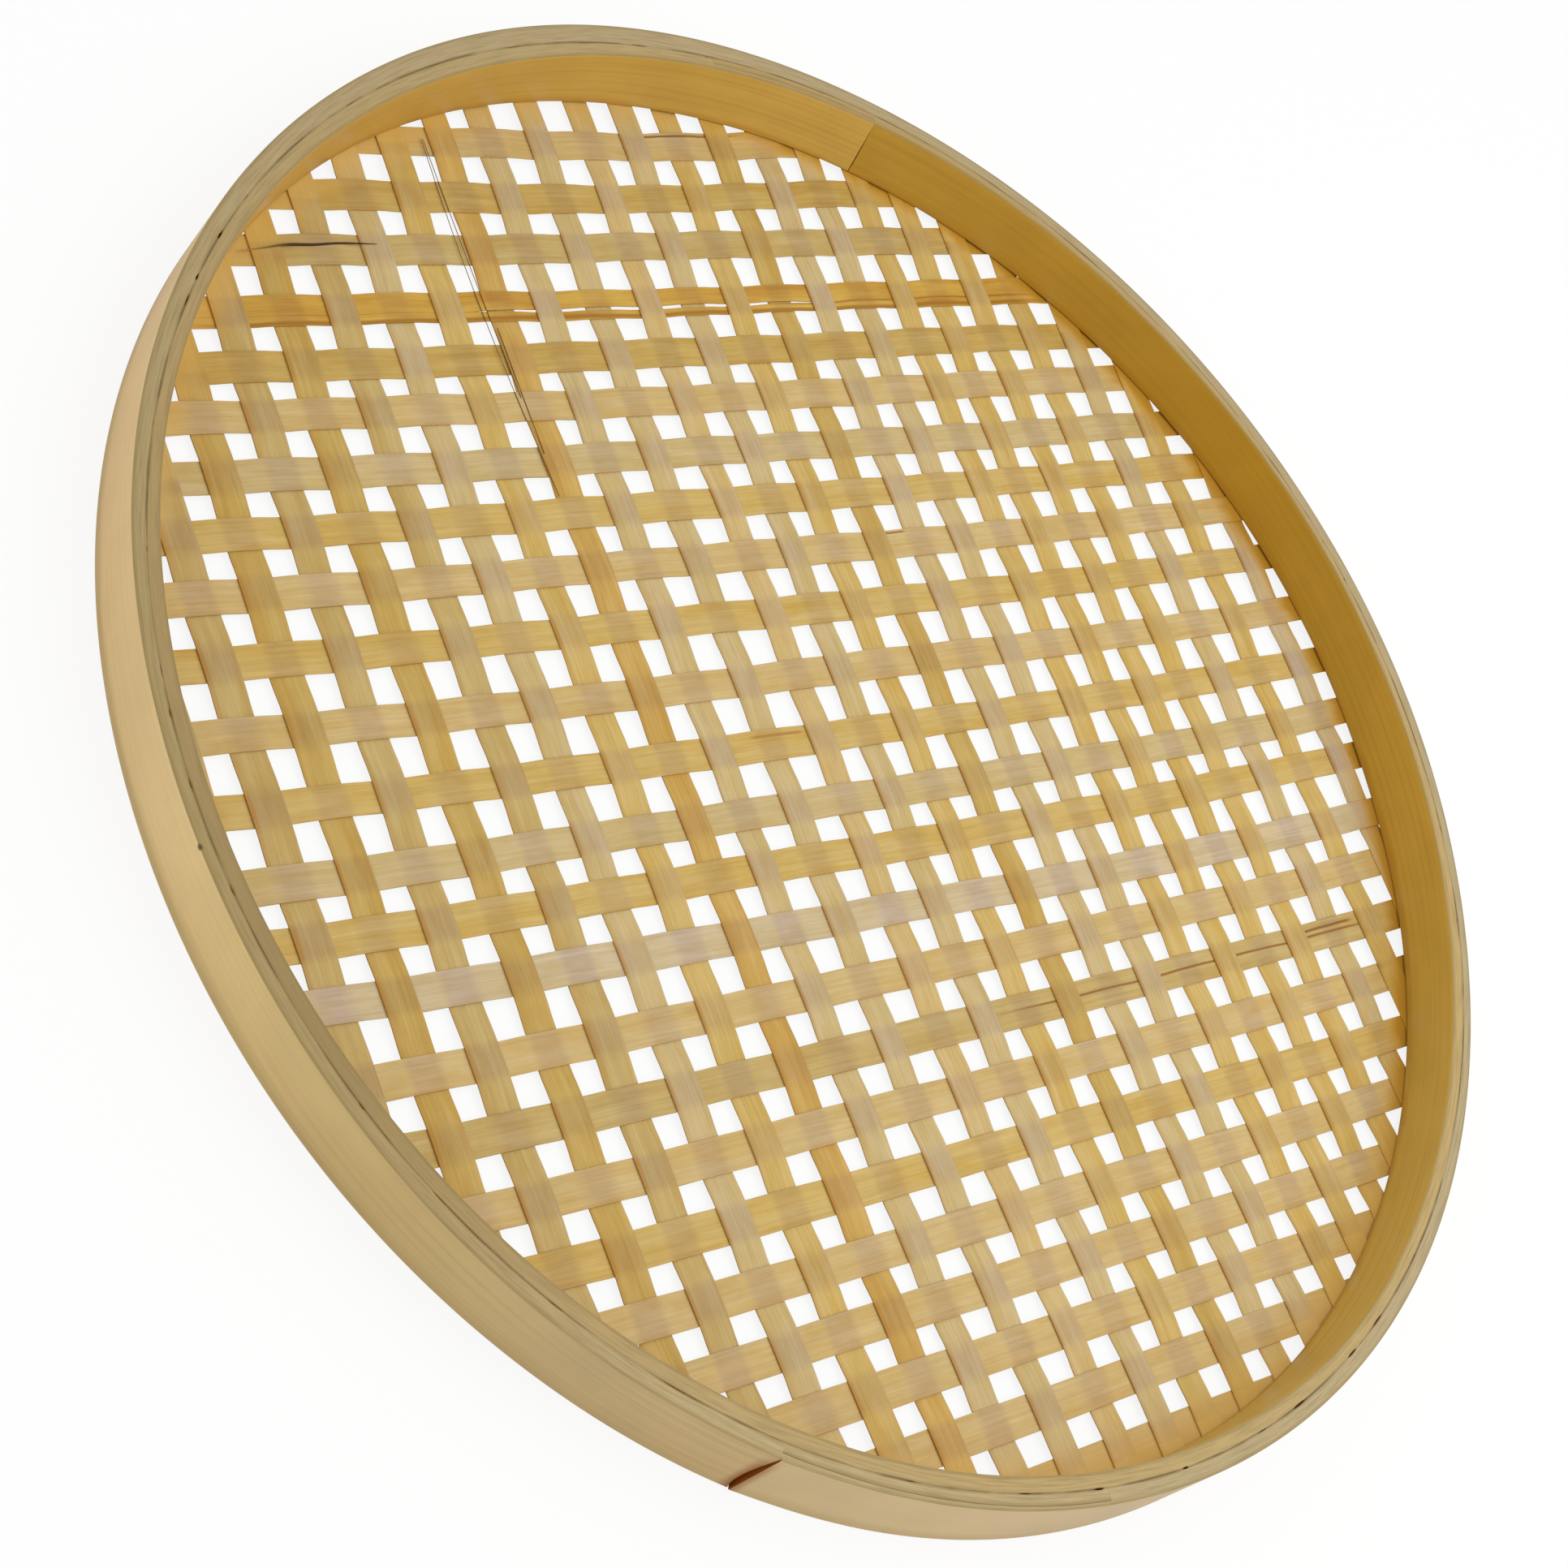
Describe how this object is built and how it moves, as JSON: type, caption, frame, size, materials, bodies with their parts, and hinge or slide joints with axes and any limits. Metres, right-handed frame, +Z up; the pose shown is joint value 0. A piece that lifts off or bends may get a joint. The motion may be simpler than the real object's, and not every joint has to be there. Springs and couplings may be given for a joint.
{
  "type": "zaru bamboo basket",
  "caption": "Flat round bamboo tray: a plain-woven open sheet of split strips held between two lapped bent hoops, for draining, drying and serving food.",
  "frame": {"origin": "on the tray's axis, on the surface that the tray stands on", "axes": "+Z up through the open side; the wefts run along X and the warps along Y"},
  "size_m": [0.4, 0.4, 0.02],
  "materials": {
    "outer_hoop_lath": "scraped bamboo lath, satin",
    "inner_hoop_lath": "golden bamboo lath, satin",
    "split_bamboo_strip": "split bamboo, fibrous, matt"
  },
  "bodies": {
    "root": {"outer_hoop": "outer_hoop_lath", "inner_hoop": "inner_hoop_lath", "warp_strip_01": "split_bamboo_strip", "warp_strip_02": "split_bamboo_strip", "warp_strip_03": "split_bamboo_strip", "warp_strip_04": "split_bamboo_strip", "warp_strip_05": "split_bamboo_strip", "warp_strip_06": "split_bamboo_strip", "warp_strip_07": "split_bamboo_strip", "warp_strip_08": "split_bamboo_strip", "warp_strip_09": "split_bamboo_strip", "warp_strip_10": "split_bamboo_strip", "warp_strip_11": "split_bamboo_strip", "warp_strip_12": "split_bamboo_strip", "warp_strip_13": "split_bamboo_strip", "warp_strip_14": "split_bamboo_strip", "warp_strip_15": "split_bamboo_strip", "warp_strip_16": "split_bamboo_strip", "warp_strip_17": "split_bamboo_strip", "warp_strip_18": "split_bamboo_strip", "warp_strip_19": "split_bamboo_strip", "warp_strip_20": "split_bamboo_strip", "warp_strip_21": "split_bamboo_strip", "warp_strip_22": "split_bamboo_strip", "warp_strip_23": "split_bamboo_strip", "warp_strip_24": "split_bamboo_strip", "weft_strip_01": "split_bamboo_strip", "weft_strip_02": "split_bamboo_strip", "weft_strip_03": "split_bamboo_strip", "weft_strip_04": "split_bamboo_strip", "weft_strip_05": "split_bamboo_strip", "weft_strip_06": "split_bamboo_strip", "weft_strip_07": "split_bamboo_strip", "weft_strip_08": "split_bamboo_strip", "weft_strip_09": "split_bamboo_strip", "weft_strip_10": "split_bamboo_strip", "weft_strip_11": "split_bamboo_strip", "weft_strip_12": "split_bamboo_strip", "weft_strip_13": "split_bamboo_strip", "weft_strip_14": "split_bamboo_strip", "weft_strip_15": "split_bamboo_strip", "weft_strip_16": "split_bamboo_strip", "weft_strip_17": "split_bamboo_strip", "weft_strip_18": "split_bamboo_strip", "weft_strip_19": "split_bamboo_strip", "weft_strip_20": "split_bamboo_strip", "weft_strip_21": "split_bamboo_strip", "weft_strip_22": "split_bamboo_strip", "weft_strip_23": "split_bamboo_strip", "weft_strip_24": "split_bamboo_strip"}
  },
  "joints": []
}
